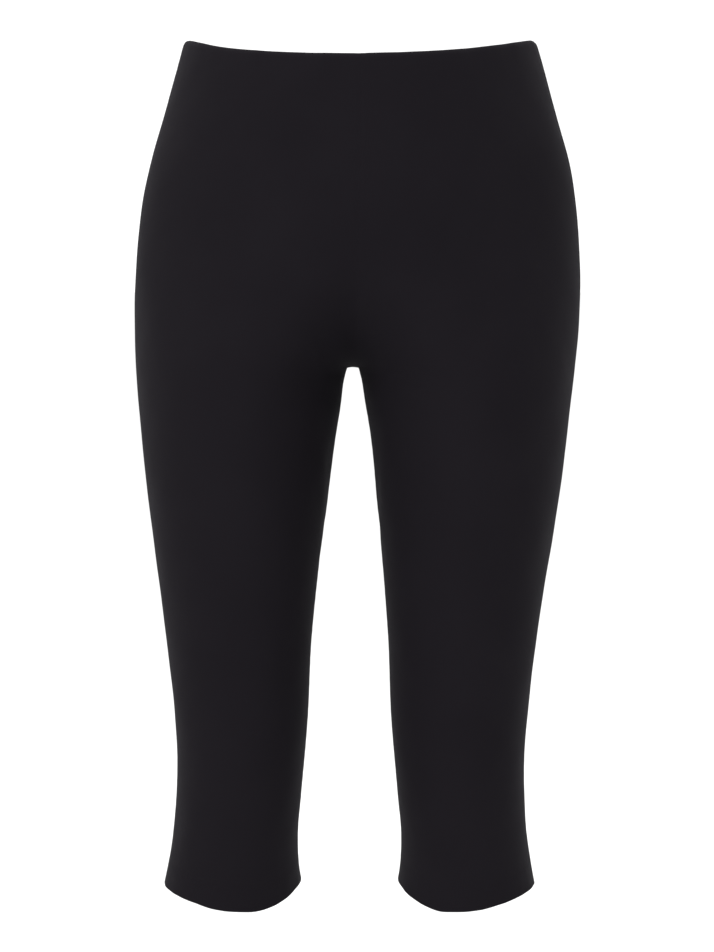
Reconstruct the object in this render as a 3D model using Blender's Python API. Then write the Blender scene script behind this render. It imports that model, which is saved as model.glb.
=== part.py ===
"""Capri pants of smooth stretch cloth, hollow and standing out as they do when worn.

Four panels: front and back, left and right. Each runs from the waist edge to the hem, and they
meet at the centre front, the centre back, the side seams and the inseams.

Frame: metres, +Z up, the front faces -Y and the wearer's left is +X. The origin is the middle of
the waist opening, level with the waist edge at the side seams, so the garment hangs below z = 0.
Sizes below are in millimetres, and levels are measured downwards from the origin.
"""

import math

import bpy
import numpy as np

MM = 0.001

# The cloth.
WALL = 1.5
TURNED_WALL = 2.8           # two layers, where an edge is turned in and sewn down
WAIST_TURN = 30.0           # depth of the turned-in waist casing
HEM_TURN = 22.0             # depth of the turned-in hem
TURN_ROWS = 3               # mesh rows in a turned-in edge
TURN_STEP = 4.0             # height over which the second layer ends
SEAM_GAP = 0.3              # clearance between neighbouring panels

# The cut.
CROTCH = 260.0              # level of the crotch point
HEM = 689.0                 # plain level of the hem
BACK_DIP = 3.0              # how far the waist edge dips at the centre back
DIP_POWER = 1.45            # how closely that dip keeps to the centre
DIP_END = 206.0             # level where the waist's dips have faded out of the mesh rows
HEM_RISE = 5.0              # how far the hem rises at the back of the leg
HEM_FADE = 3                # power with which the hem's line fades out up the leg
CLEFT = 13.0                # roundness of the cloth that bridges from leg to leg
ARCH_START = 0.3            # how fast the legs' inner sides close on each other at the crotch
ARCH_SLOPE = 0.87           # and further up
ARCH_BEND = 15.0            # height over which the one turns into the other

# Half of the garment, a row for each level: half width out to the side seam, how far out the
# fullest line of the front and back lies (0 in the trunk, the middle of the leg below), reach of
# the front and of the back from the side seam's plane, the y of that plane, the sideways sway of
# the stance, and how much further it moves the inner sides.
SECTION_COLUMNS = ("level", "width", "crown", "front", "back", "seam_y", "sway", "lean")
SECTIONS = np.array((
    (0.0, 140.0, 0.0, 98.0, 100.0, 0.0, -0.2, 0.0),
    (60.0, 157.3, 0.0, 106.0, 111.0, 2.0, 0.1, 0.0),
    (94.0, 167.6, 0.0, 109.0, 118.0, 4.0, 0.0, 0.0),
    (126.0, 174.3, 2.0, 111.0, 125.0, 6.0, -0.8, 0.0),
    (160.0, 178.3, 20.0, 111.0, 131.0, 8.0, -1.6, 0.0),
    (195.0, 180.2, 50.0, 110.0, 132.0, 9.0, -2.0, -0.4),
    (230.0, 179.8, 76.0, 109.0, 127.0, 10.0, -2.9, -1.4),
    (260.0, 178.0, 89.0, 107.0, 118.0, 10.0, -4.0, -1.9),
    (303.0, 174.2, 93.5, 103.0, 103.0, 8.0, -4.6, -1.0),
    (352.0, 169.2, 94.0, 95.0, 91.0, 5.0, -5.1, -1.1),
    (401.0, 162.7, 93.0, 86.0, 82.0, 3.0, -6.1, -1.1),
    (450.0, 155.7, 92.0, 76.0, 74.0, 2.0, -6.8, -1.3),
    (549.0, 145.6, 89.5, 64.0, 61.0, 6.0, -7.4, -1.5),
    (582.0, 144.1, 90.0, 63.0, 60.0, 10.0, -7.7, -1.2),
    (616.0, 145.0, 92.0, 62.0, 60.0, 15.0, -8.1, -0.9),
    (649.0, 147.7, 94.5, 61.0, 61.0, 20.0, -8.5, -0.4),
    (689.0, 154.6, 96.5, 60.0, 60.0, 26.0, -9.0, 0.1),
    (710.0, 159.4, 97.0, 60.0, 60.0, 29.0, -9.0, 0.1),
))

# The gap between the legs: depth below the crotch, and half of the gap there.
GAPS = np.array((
    (0.0, 0.0),
    (2.0, 3.9),
    (7.0, 6.3),
    (14.0, 7.8),
    (27.0, 9.5),
    (59.0, 14.6),
    (124.0, 22.0),
    (190.0, 28.7),
    (224.0, 31.5),
    (291.0, 34.5),
    (358.0, 40.3),
    (392.0, 43.2),
    (425.0, 42.0),
    (450.0, 37.0),
))

# The front's waist edge: share of the way from the inner edge to the side seam, and how far it
# lies below its plain level there on the wearer's right and on the left.
WAIST_LINE = np.array((
    (0.00, 16.0, 15.9),
    (0.20, 15.4, 14.6),
    (0.40, 13.0, 11.7),
    (0.60, 8.5, 6.8),
    (0.75, 3.4, 2.6),
    (0.87, 0.2, 0.1),
    (1.00, 0.0, 0.0),
))

# The front's hem: the same share, and how far it lies below its plain level.
HEM_LINE = np.array((
    (0.00, 5.0),
    (0.08, 5.2),
    (0.20, 9.4),
    (0.30, 13.7),
    (0.36, 15.6),
    (0.45, 15.2),
    (0.55, 13.6),
    (0.70, 8.8),
    (0.88, 6.1),
    (1.00, 7.0),
))

# The mesh of a panel.
COLUMNS = 12                # across, from the inner edge to the side seam
ROW_STEP = 17.0             # height of a plain row
CROTCH_STEPS = (2.5, 7.0, 14.0, 24.0, 38.0, 54.0)   # closer rows, above and below the crotch
FORK_TOP = 150.0            # level where the columns start to spread round the legs
FORK_END = 275.0            # and where they are spread all round
INNER_PULL = 6              # how closely the innermost columns alone follow the seam's curve
ARC_STEPS = 96              # steps along a section when its length is measured
NORMAL_STEP = 0.05          # distance over which the outer face's slope is measured
SHARP_EDGE = 40.0           # degrees

FRONT, BACK = -1, 1
LEFT, RIGHT = 1, -1
PANELS = (
    ("front_left", FRONT, LEFT),
    ("front_right", FRONT, RIGHT),
    ("back_left", BACK, LEFT),
    ("back_right", BACK, RIGHT),
)

CLOTH_COLOUR = (0.012, 0.011, 0.013, 1.0)
CLOTH_ROUGHNESS = 0.85


def clear_scene():
    """Remove whatever the file opens with."""
    for item in list(bpy.data.objects):
        bpy.data.objects.remove(item, do_unlink=True)


def through_rows(stations, values, at):
    """Read a smooth curve through the rows of a table (cubic Hermite, centred slopes)."""
    slopes = np.gradient(values, stations)
    row = int(np.clip(np.searchsorted(stations, at) - 1, 0, len(stations) - 2))
    step = stations[row + 1] - stations[row]
    t = (at - stations[row]) / step
    start = (1 + 2 * t) * (1 - t) ** 2 * values[row] + t * (1 - t) ** 2 * step * slopes[row]
    end = t * t * (3 - 2 * t) * values[row + 1] - t * t * (1 - t) * step * slopes[row + 1]
    return start + end


def size(column, level):
    """One of the section sizes at a level."""
    at = SECTION_COLUMNS.index(column)
    return through_rows(SECTIONS[:, 0], SECTIONS[:, at], level)


def half_gap(level):
    """Half the gap between the legs; its square is what grows smoothly from the crotch."""
    square = through_rows(GAPS[:, 0], GAPS[:, 1] ** 2, level - CROTCH)
    return math.sqrt(max(square, 0.0))


def ring(level):
    """Crown, outer and inner radius, and inner angle of the round that half a section follows.

    Distances from the centre plane are read as hypot(x, CLEFT), which turns the sharp fold
    where two such rounds meet into a rounded saddle. In a leg the round is whole. Above the
    crotch its inner side runs past the centre plane, where it is cut off.
    """
    crown = math.hypot(max(size("crown", level), 0.0), CLEFT)
    outer = math.hypot(size("width", level), CLEFT)
    if level > CROTCH:
        return crown, outer - crown, crown - math.hypot(half_gap(level), CLEFT), math.pi
    height = CROTCH - level
    past_centre = ARCH_START * height + (ARCH_SLOPE - ARCH_START) * height ** 2 / (height + ARCH_BEND)
    inner_radius = crown - CLEFT + past_centre
    return crown, outer - crown, inner_radius, math.acos(-(crown - CLEFT) / max(inner_radius, 1e-6))


def smooth_step(start, end, level):
    """Rises from 0 at start to 1 at end."""
    t = min(max((level - start) / (end - start), 0.0), 1.0)
    return t * t * (3 - 2 * t)


def section_point(level, side, share):
    """Point at a share of the way along a half section, from its inner edge to the side seam."""
    crown, outer_radius, inner_radius, inner_angle = ring(level)
    reach = size("front" if side == FRONT else "back", level)
    angles = np.linspace(0.0, inner_angle, ARC_STEPS + 1)
    across = crown + np.where(angles < math.pi / 2, outer_radius, inner_radius) * np.cos(angles)
    x = np.sqrt(np.maximum(across ** 2 - CLEFT ** 2, 0.0))
    y = size("seam_y", level) + side * reach * np.sin(angles)
    run = np.concatenate(((0.0,), np.cumsum(np.hypot(np.diff(x), np.diff(y)))))
    spread = run[-1] * math.pi * (1 + smooth_step(FORK_TOP, FORK_END, level)) / 2 / inner_angle
    at = spread * (1 - share) + (run[-1] - spread) * (1 - share) ** INNER_PULL
    return np.array((np.interp(at, run, x), np.interp(at, run, y), -level))


def height_above_cloth(point, side):
    """Negative inside the garment, zero on its outer face and positive outside."""
    level = -point[2]
    crown, outer_radius, inner_radius, _ = ring(level)
    reach = size("front" if side == FRONT else "back", level)
    across = math.hypot(point[0], CLEFT) - crown
    across /= outer_radius if across > 0 else inner_radius
    along = (point[1] - size("seam_y", level)) / reach
    return across ** 2 + along ** 2 - 1


def outward(point, side):
    """Unit normal of the outer face."""
    slope = np.zeros(3)
    for axis in range(3):
        offset = np.zeros(3)
        offset[axis] = NORMAL_STEP
        slope[axis] = height_above_cloth(point + offset, side) - height_above_cloth(point - offset, side)
    return slope / np.linalg.norm(slope)


def row_levels():
    """Plain levels of the mesh rows."""
    above = [CROTCH - step for step in reversed(CROTCH_STEPS)]
    below = [CROTCH + step for step in CROTCH_STEPS]
    casing_end = WAIST_TURN + TURN_STEP
    hem_start = HEM - HEM_TURN - TURN_STEP
    trunk = np.linspace(casing_end, above[0], round((above[0] - casing_end) / ROW_STEP) + 1)
    legs = np.linspace(below[-1], hem_start, round((hem_start - below[-1]) / ROW_STEP) + 1)
    return (0.0, WAIST_TURN / 2, WAIST_TURN, *trunk, *above[1:], CROTCH, *below[:-1], *legs,
            HEM - HEM_TURN, HEM - HEM_TURN / 2, HEM)


def waist_dip(level, share, side, hand):
    """How far the waist edge's dip lowers a point; it fades out down to the fork."""
    fade = 1 - smooth_step(WAIST_TURN, DIP_END, level)
    if side == BACK:
        return fade * BACK_DIP * (1 - share ** 2) ** DIP_POWER
    falls = WAIST_LINE[:, 2 if hand == LEFT else 1]
    return fade * through_rows(WAIST_LINE[:, 0], falls, share)


def hem_fall(level, share, side):
    """How far the hem's line lowers a point; it fades out up the leg."""
    fade = min(max((level - CROTCH) / (HEM - CROTCH), 0.0), 1.0) ** HEM_FADE
    if side == FRONT:
        return fade * through_rows(HEM_LINE[:, 0], HEM_LINE[:, 1], share)
    inner_fall, outer_fall = HEM_LINE[0, 1], HEM_LINE[-1, 1]
    across = inner_fall + (outer_fall - inner_fall) * share
    return fade * (across - HEM_RISE * math.sin(math.pi * share) ** 2)


def wall_at(row, rows):
    """Thickness of the wall in a row; the rows at both ends are turned in."""
    turned = row < TURN_ROWS or row >= rows - TURN_ROWS
    return TURNED_WALL if turned else WALL


def panel_grids(side, hand):
    """Outer and inner faces of a panel, still on the left, as rows of points from waist to hem."""
    levels = row_levels()
    outer = np.zeros((len(levels), COLUMNS + 1, 3))
    inner = np.zeros_like(outer)
    for row, row_level in enumerate(levels):
        for column in range(COLUMNS + 1):
            share = column / COLUMNS
            level = row_level + waist_dip(row_level, share, side, hand)
            level += hem_fall(row_level, share, side)
            point = section_point(level, side, share)
            outer[row, column] = point
            inner[row, column] = point - wall_at(row, len(levels)) * outward(point, side)
    return outer, inner


def clear_of_neighbours(grid, side):
    """Keep a panel half a seam gap off the centre plane and off the seam plane."""
    half = SEAM_GAP / 2
    moved = grid.copy()
    moved[..., 0] = np.maximum(grid[..., 0], half)
    seam_y = np.array([[size("seam_y", -point[2]) for point in row] for row in grid])
    along = np.maximum(side * (grid[..., 1] - seam_y), half)
    moved[..., 1] = seam_y + side * along
    return moved


def stance_shift(point):
    """How far the stance moves a point sideways: the sway, and the lean of the legs' inner sides."""
    level = -point[2]
    inner = 1 - min(point[0] / size("width", level), 1.0) ** 2
    return size("sway", level) + size("lean", level) * inner


def placed(grid, hand):
    """Mirror a left panel's points for the right side, shift them sideways and turn them to metres."""
    moved = grid.copy()
    moved[..., 0] *= hand
    moved[..., 0] += np.array([[stance_shift(point) for point in row] for row in grid])
    return moved * MM


def closed_faces(rows, columns, flip):
    """Quads of a closed wall whose outer points come first and inner points after them."""
    behind = rows * columns

    def at(row, column):
        return row * columns + column

    faces = []
    for row in range(rows - 1):
        for column in range(columns - 1):
            quad = (at(row, column), at(row + 1, column), at(row + 1, column + 1), at(row, column + 1))
            faces.append(quad)
            faces.append(tuple(index + behind for index in reversed(quad)))
    rim = [at(0, column) for column in range(columns)]
    rim += [at(row, columns - 1) for row in range(1, rows)]
    rim += [at(rows - 1, column) for column in range(columns - 2, -1, -1)]
    rim += [at(row, 0) for row in range(rows - 2, 0, -1)]
    for start, end in zip(rim, rim[1:] + rim[:1]):
        faces.append((start, end, end + behind, start + behind))
    if flip:
        faces = [tuple(reversed(face)) for face in faces]
    return faces


def cloth_material(name):
    """Matt near-black cloth."""
    material = bpy.data.materials.new(name)
    material.use_nodes = True
    shader = material.node_tree.nodes["Principled BSDF"]
    shader.inputs["Base Color"].default_value = CLOTH_COLOUR
    shader.inputs["Roughness"].default_value = CLOTH_ROUGHNESS
    shader.inputs["Metallic"].default_value = 0.0
    return material


def make_panel(name, side, hand):
    """One panel as a closed wall of cloth."""
    outer, inner = (placed(clear_of_neighbours(grid, side), hand) for grid in panel_grids(side, hand))
    rows, columns = outer.shape[:2]
    points = np.concatenate((outer.reshape(-1, 3), inner.reshape(-1, 3)))
    mesh = bpy.data.meshes.new(name)
    mesh.from_pydata(points.tolist(), [], closed_faces(rows, columns, side * hand > 0))
    mesh.materials.append(cloth_material(name + "_cloth"))
    mesh.shade_smooth()
    mesh.set_sharp_from_angle(angle=math.radians(SHARP_EDGE))
    panel = bpy.data.objects.new(name, mesh)
    bpy.context.scene.collection.objects.link(panel)
    return panel


def main():
    clear_scene()
    for name, side, hand in PANELS:
        make_panel(name, side, hand)


main()
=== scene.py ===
"""Capri pants of matt black stretch cloth, filled out as they are when worn.

Four panels of cloth meet at the side seams, the inseams, the centre front and the centre back. The
waist casing and the hems are turned in, the seams are overlocked inside, and the hems have a twin row
of stitches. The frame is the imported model's: metres, +Z up, the front faces -Y, the wearer's left is
+X, and the origin is the middle of the waist opening. Sizes below are in millimetres unless a name
ends in _M, angles are in degrees, and levels are measured downwards from the origin.
"""

import math
from collections import namedtuple

import bpy
import numpy as np
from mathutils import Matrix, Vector


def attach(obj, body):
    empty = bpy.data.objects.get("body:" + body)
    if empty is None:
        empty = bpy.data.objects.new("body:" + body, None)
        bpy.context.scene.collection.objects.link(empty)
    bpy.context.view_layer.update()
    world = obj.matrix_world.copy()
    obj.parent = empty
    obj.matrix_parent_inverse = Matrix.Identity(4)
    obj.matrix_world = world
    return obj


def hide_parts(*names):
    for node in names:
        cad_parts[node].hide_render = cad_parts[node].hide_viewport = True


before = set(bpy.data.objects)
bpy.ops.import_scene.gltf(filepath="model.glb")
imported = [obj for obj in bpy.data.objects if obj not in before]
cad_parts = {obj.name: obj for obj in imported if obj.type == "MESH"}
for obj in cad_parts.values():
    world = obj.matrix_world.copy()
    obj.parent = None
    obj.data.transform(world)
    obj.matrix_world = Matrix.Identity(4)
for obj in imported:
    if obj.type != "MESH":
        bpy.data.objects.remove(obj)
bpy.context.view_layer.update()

MM = 0.001

# ---- The cut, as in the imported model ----
CROTCH = 260.0              # level of the crotch point
HEM = 689.0                 # plain level of the hem
WAIST_TURN = 30.0           # depth of the turned-in waist casing
HEM_TURN = 22.0             # depth of the turned-in hem
BACK_DIP = 3.0              # how far the waist edge dips at the centre back
DIP_POWER = 1.45            # how closely that dip keeps to the centre
DIP_END = 206.0             # level where the waist's dips have faded out
HEM_RISE = 5.0              # how far the hem rises at the back of the leg
HEM_FADE = 3                # power with which the hem's line fades out up the leg
CLEFT = 13.0                # roundness of the cloth that bridges from leg to leg
ARCH_START = 0.3            # how fast the legs' inner sides close on each other at the crotch
ARCH_SLOPE = 0.87           # and further up
ARCH_BEND = 15.0            # height over which the one turns into the other
ARCH_FLAT = 3.2             # how far the top of the arch between the legs is widened
FLAT_HEIGHT = 2.0           # the height over which that fades out
FLAT_REACH = 12.0           # its reach along the cloth
FLAT_EDGE = 3.0             # and how near the centre seams it ends above the crotch
FORK_TOP = 150.0            # level where the columns start to spread round the legs
FORK_END = 275.0            # and where they are spread all round
INNER_PULL = 6              # how closely the innermost columns alone follow the seam's curve

# Half of the garment, a row for each level: half width out to the side seam, how far out the
# fullest line of the front and back lies (0 in the trunk, the middle of the leg below), reach of
# the front and of the back from the side seam's plane, the y of that plane, the sideways sway of
# the stance, and how much further it moves the inner sides.
SECTION_COLUMNS = ("level", "width", "crown", "front", "back", "seam_y", "sway", "lean")
SECTIONS = np.array((
    (0.0, 140.0, 0.0, 98.0, 100.0, 0.0, -0.2, 0.0),
    (60.0, 157.3, 0.0, 106.0, 111.0, 2.0, 0.1, 0.0),
    (94.0, 167.6, 0.0, 109.0, 118.0, 4.0, 0.0, 0.0),
    (126.0, 174.3, 2.0, 111.0, 125.0, 6.0, -0.8, 0.0),
    (160.0, 178.3, 20.0, 111.0, 131.0, 8.0, -1.6, 0.0),
    (195.0, 180.2, 50.0, 110.0, 132.0, 9.0, -2.0, -0.4),
    (230.0, 179.8, 76.0, 109.0, 127.0, 10.0, -2.9, -1.4),
    (260.0, 178.0, 89.0, 107.0, 118.0, 10.0, -4.0, -1.9),
    (303.0, 174.2, 93.5, 103.0, 103.0, 8.0, -4.6, -1.0),
    (352.0, 169.2, 94.0, 95.0, 91.0, 5.0, -5.1, -1.1),
    (401.0, 162.7, 93.0, 86.0, 82.0, 3.0, -6.1, -1.1),
    (450.0, 155.7, 92.0, 76.0, 74.0, 2.0, -6.8, -1.3),
    (549.0, 145.6, 89.5, 64.0, 61.0, 6.0, -7.4, -1.5),
    (582.0, 144.1, 90.0, 63.0, 60.0, 10.0, -7.7, -1.2),
    (616.0, 145.0, 92.0, 62.0, 60.0, 15.0, -8.1, -0.9),
    (649.0, 147.7, 94.5, 61.0, 61.0, 20.0, -8.5, -0.4),
    (689.0, 154.6, 96.5, 60.0, 60.0, 26.0, -9.0, 0.1),
    (710.0, 159.4, 97.0, 60.0, 60.0, 29.0, -9.0, 0.1),
))

# The gap between the legs: depth below the crotch, and half of the gap there.
GAPS = np.array((
    (0.0, 0.0), (2.0, 3.9), (7.0, 6.3), (14.0, 7.8), (27.0, 9.5), (59.0, 14.6), (124.0, 22.0),
    (190.0, 28.7), (224.0, 31.5), (291.0, 34.5), (358.0, 40.3), (392.0, 43.2), (425.0, 42.0),
    (450.0, 37.0),
))

# The front's waist edge: share of the way from the inner edge to the side seam, and how far it lies
# below its plain level there on the wearer's right and on the left.
WAIST_LINE = np.array((
    (0.00, 16.0, 15.9), (0.20, 15.4, 14.6), (0.40, 13.0, 11.7), (0.60, 8.5, 6.8), (0.75, 3.4, 2.6),
    (0.87, 0.2, 0.1), (1.00, 0.0, 0.0),
))

# The front's hem: the same share, and how far it lies below its plain level.
HEM_LINE = np.array((
    (0.00, 5.0), (0.08, 5.2), (0.20, 9.4), (0.30, 13.7), (0.36, 15.6), (0.45, 15.2), (0.55, 13.6),
    (0.70, 8.8), (0.88, 6.1), (1.00, 7.0),
))

FRONT, BACK = -1, 1         # a panel's side, which is its sign in y
LEFT, RIGHT = 1, -1         # and its hand, which is its sign in x
INNER_EDGE, SIDE_SEAM = 0.0, 1.0    # share of the way across a panel
PANELS = (
    ("front_left", FRONT, LEFT),
    ("front_right", FRONT, RIGHT),
    ("back_left", BACK, LEFT),
    ("back_right", BACK, RIGHT),
)

# ---- The cloth ----
PLY = 0.95                  # one layer
TURNED = 2.0                # two layers pressed together at the casing and the hems
TURN_STEP = 1.2             # height over which the second layer's edge ends
CASING_END = WAIST_TURN + TURN_STEP         # level where the single layer starts
HEM_START = HEM - HEM_TURN - TURN_STEP      # and where it ends
CASING_ROLL = 1.8           # how far the top of the casing leans in
ROLL_REACH = 5.0            # the height over which it does
ROLL_POWER = 2.5            # and how closely that keeps to the top
SEAM_LAP = 0.03             # how far a panel's sewn edge presses into its neighbour's

# ---- Steps of the meshes ----
EDGE_STEPS = 4              # steps from the outer face round to the tip of a folded edge
RIM_ROWS = (2.0, 3.4, 5.0)  # levels of the mesh rows below the waist's folded edge
LAST_HEM_ROW = 1.5          # distance of the lowest flat row from the round of the hem's fold
ROW_STEP = 4.4              # height of the rows between
COLUMNS = 52                # mesh columns across a panel, between its seams
# Distance of the extra columns next to a seam, and of the rows near the crotch point below it.
SEAM_COLUMNS = (0.0, 0.3, 0.7, 1.2, 1.9)
CROTCH_ROWS = (-9.0, -5.8, -3.4, -1.8, -0.8, -0.25, 0.0, 0.15, 0.5, 1.1, 2.0, 3.4, 5.6, 9.0)
ARC_STEPS = 200             # steps along a section when its length is measured
SIDE_STEPS = 160            # points along a panel when a line round the garment is measured
NORMAL_STEP = 0.05          # how far the form is read to each side for its normals
DOUBLED_M = 1e-6            # points nearer than this are one
SHARP_EDGE = 50             # angle past which an edge isn't smoothed
TINY = 1e-9                 # keeps a divisor from being zero

# ---- The cloth's relief ----
# Soft creases, listed one by one: leg, level of the middle, place round the leg (-1 inner edge in front,
# 0 side seam, 1 inner edge behind), slant (0 level, positive rises away from the side seam to the
# front), length, half width, depth, and bow of the line.
Crease = namedtuple("Crease", "leg level around slant length width depth bow")
CREASES = [Crease(*row) for row in (
    # the fork, in front
    (LEFT, 240.0, -0.90, -38.0, 46.0, 5.0, 0.55, 2.0),
    (LEFT, 262.0, -0.84, -20.0, 60.0, 6.5, 0.60, 3.0),
    (LEFT, 289.0, -0.88, -8.0, 44.0, 6.0, 0.45, 2.0),
    (RIGHT, 236.0, -0.89, -42.0, 52.0, 5.5, 0.60, -2.0),
    (RIGHT, 259.0, -0.85, -24.0, 50.0, 6.0, 0.50, 2.5),
    (RIGHT, 281.0, -0.90, -10.0, 40.0, 5.5, 0.50, 1.5),
    # the bend of the hip
    (LEFT, 212.0, -0.50, -22.0, 110.0, 13.0, 0.55, 6.0),
    (RIGHT, 206.0, -0.46, -18.0, 120.0, 14.0, 0.50, 7.0),
    # above and below the knee, in front and outside
    (LEFT, 498.0, -0.42, 10.0, 60.0, 10.0, 0.50, 4.0),
    (LEFT, 585.0, -0.25, 24.0, 50.0, 8.0, 0.55, 4.0),
    (LEFT, 604.0, -0.28, 16.0, 40.0, 7.0, 0.45, 3.0),
    (RIGHT, 508.0, -0.40, 6.0, 66.0, 11.0, 0.50, -4.0),
    (RIGHT, 552.0, -0.25, 30.0, 48.0, 8.0, 0.55, 4.0),
    (RIGHT, 571.0, -0.29, 20.0, 44.0, 7.5, 0.45, 3.0),
    (LEFT, 632.0, -0.56, 84.0, 60.0, 12.0, 0.90, 3.0),
    (RIGHT, 640.0, -0.34, 78.0, 54.0, 10.0, 0.60, -3.0),
    # under the seat
    (LEFT, 268.0, 0.62, 14.0, 104.0, 11.0, 1.60, -9.0),
    (LEFT, 292.0, 0.70, 22.0, 82.0, 9.0, 1.35, -6.0),
    (LEFT, 322.0, 0.80, 34.0, 60.0, 8.0, 0.95, -4.0),
    (RIGHT, 271.0, 0.60, 12.0, 112.0, 12.0, 1.70, -9.0),
    (RIGHT, 298.0, 0.72, 25.0, 74.0, 8.5, 1.25, -5.0),
    (RIGHT, 330.0, 0.78, 38.0, 52.0, 7.5, 0.90, -3.0),
    # the hollow of the knee
    (LEFT, 521.0, 0.52, 7.0, 74.0, 8.0, 1.50, 5.0),
    (LEFT, 541.0, 0.44, -5.0, 92.0, 7.0, 1.90, -4.0),
    (LEFT, 558.0, 0.56, 9.0, 66.0, 6.5, 1.55, 3.0),
    (LEFT, 579.0, 0.47, -8.0, 58.0, 8.0, 1.10, -3.0),
    (RIGHT, 516.0, 0.46, -6.0, 80.0, 8.5, 1.40, 4.0),
    (RIGHT, 536.0, 0.55, 8.0, 86.0, 7.0, 1.85, -5.0),
    (RIGHT, 555.0, 0.45, -7.0, 72.0, 6.5, 1.60, 3.0),
    (RIGHT, 574.0, 0.54, 5.0, 54.0, 7.5, 1.15, -2.0),
    # the small of the back, and the inside of the thighs
    (LEFT, 96.0, 0.66, -16.0, 84.0, 12.0, 0.45, 6.0),
    (RIGHT, 104.0, 0.62, -14.0, 92.0, 13.0, 0.45, 6.0),
    (LEFT, 372.0, 0.95, 82.0, 84.0, 9.0, 0.50, 4.0),
    (RIGHT, 380.0, 0.93, 84.0, 90.0, 9.0, 0.55, -4.0),
    (LEFT, 352.0, -0.93, 86.0, 70.0, 8.0, 0.35, 3.0),
    (RIGHT, 360.0, -0.94, 84.0, 78.0, 9.0, 0.40, -3.0),
)]
LIP = 0.45                  # height of the lips beside a crease, as a share of its depth
LIP_AT = 1.7                # their distance from its line, in half widths
CREASE_ENDS = 3             # power with which a crease fades out at its ends

# Slow unevenness of the stretched cloth: height, wavelength down and round, and phase.
UNEVEN = (
    (0.16, 210.0, 95.0, 0.4),
    (0.10, 128.0, -61.0, 2.1),
    (0.07, 74.0, 47.0, 4.4),
    (0.05, 43.0, -37.0, 1.3),
)
# Ripples of the waist edge and the hems: height, length and phase.
RIPPLES = ((0.16, 31.0, 0.0), (0.12, 19.0, 1.9), (0.07, 11.0, 4.1))
RIPPLE_REACH = 14.0         # how far from an edge its ripples fade
INNER_REACH = 22.0          # how far from a panel's inner edge both have grown in
PUCKER = 0.10               # height of the seams' puckers
PUCKER_LENGTHS = (9.0, 14.0)
PUCKER_REACH = 5.0          # how far from a seam they fade
SEAM_DEPTH = 0.5            # how deep the cloth rolls into a seam
FRONT_SEAM_DEPTH = 0.15     # and into the centre front seam, which is stretched flat
SEAM_ROLL = 1.1             # and how wide that roll is
CROTCH_FLAT = 14.0          # how near the crotch point the seams lie flat

# ---- The sewing ----
THREAD = 0.17               # radius of a thread

SEAM_STOP = 2.0             # how far from the crotch point the seam allowances stop

# Seams: name, the panel that the allowance is pressed to and the one it comes from (side, hand), the
# panels' edge there, and the levels where it starts and ends.
Seam = namedtuple("Seam", "name pressed_to pressed_from edge start end")
SEAMS = (
    Seam("centre_front_seam", (FRONT, LEFT), (FRONT, RIGHT), INNER_EDGE, CASING_END, CROTCH - SEAM_STOP),
    Seam("centre_back_seam", (BACK, LEFT), (BACK, RIGHT), INNER_EDGE, CASING_END, CROTCH - SEAM_STOP),
    Seam("side_seam_left", (BACK, LEFT), (FRONT, LEFT), SIDE_SEAM, CASING_END, HEM_START),
    Seam("side_seam_right", (BACK, RIGHT), (FRONT, RIGHT), SIDE_SEAM, CASING_END, HEM_START),
    Seam("inseam_left", (BACK, LEFT), (FRONT, LEFT), INNER_EDGE, CROTCH + SEAM_STOP, HEM_START),
    Seam("inseam_right", (BACK, RIGHT), (FRONT, RIGHT), INNER_EDGE, CROTCH + SEAM_STOP, HEM_START),
)

# A seam allowance, two plies pressed to one side. Its section: distance from the seam (negative on the
# other panel), and height above the inside of the cloth as a share of its thickness.
ALLOWANCE = 6.5             # its width
ALLOWANCE_PLIES = 1.5       # and its thickness
ALLOWANCE_SECTION = np.array((
    (-1.6, 0.02), (-1.2, 0.45), (-0.4, 0.85), (0.6, 1.0), (2.4, 1.0), (4.4, 1.0), (5.8, 0.92),
    (6.4, 0.62), (ALLOWANCE, 0.35), (6.2, 0.02), (4.0, -0.05), (1.6, -0.05), (0.0, -0.05),
))

# The overlock on an allowance. Points of one bite of its looper: share of the bite's length, distance
# from the seam, and height above the allowance.
OVERLOCK_BITE = 2.4
LOOPER = np.array((
    (0.0, 1.2, 0.10),
    (0.35, 3.8, 0.12),
    (0.6, ALLOWANCE - 0.3, 0.06),
    (0.7, ALLOWANCE + 0.12, -0.75),
    (0.8, ALLOWANCE - 0.3, 0.06),
))
NEEDLE_LINE = 1.3           # distance of the needle's line from the seam
NEEDLE_UP = 0.16            # its thread's height above the allowance between its holes
NEEDLE_DOWN = -0.04         # and in them

# The threads that zigzag over the edge of a turned-in layer, inside the garment. Two rows, on the layer
# and past it: level (for the hem, distance from its edge), and depth in the cloth.
CASING_OVERLOCK = ((25.5, TURNED + 0.1), (30.4, TURNED - 0.1))
HEM_COVER = ((16.4, TURNED + 0.1), (22.6, TURNED - 0.5))

# The twin row of stitches round a hem, outside.
HEM_ROWS = (17.0, 20.0)     # distance of the rows from the hem's edge
STITCH_LENGTH = 2.1
STITCH_PITCH = 2.8
STITCH_WIDTH = 0.42
STITCH_HEIGHT = 0.30
STITCH_ENDS = 0.42          # share of the length from the middle where a stitch's ends start
STITCH_DIP = 0.4            # how far they dip into the cloth, as a share of the height

# The panels that a line round the waist passes: side, hand, and the edges it comes from and goes to.
WAIST_ROUND = (
    (FRONT, LEFT, SIDE_SEAM, INNER_EDGE),
    (FRONT, RIGHT, INNER_EDGE, SIDE_SEAM),
    (BACK, RIGHT, SIDE_SEAM, INNER_EDGE),
    (BACK, LEFT, INNER_EDGE, SIDE_SEAM),
)

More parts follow.
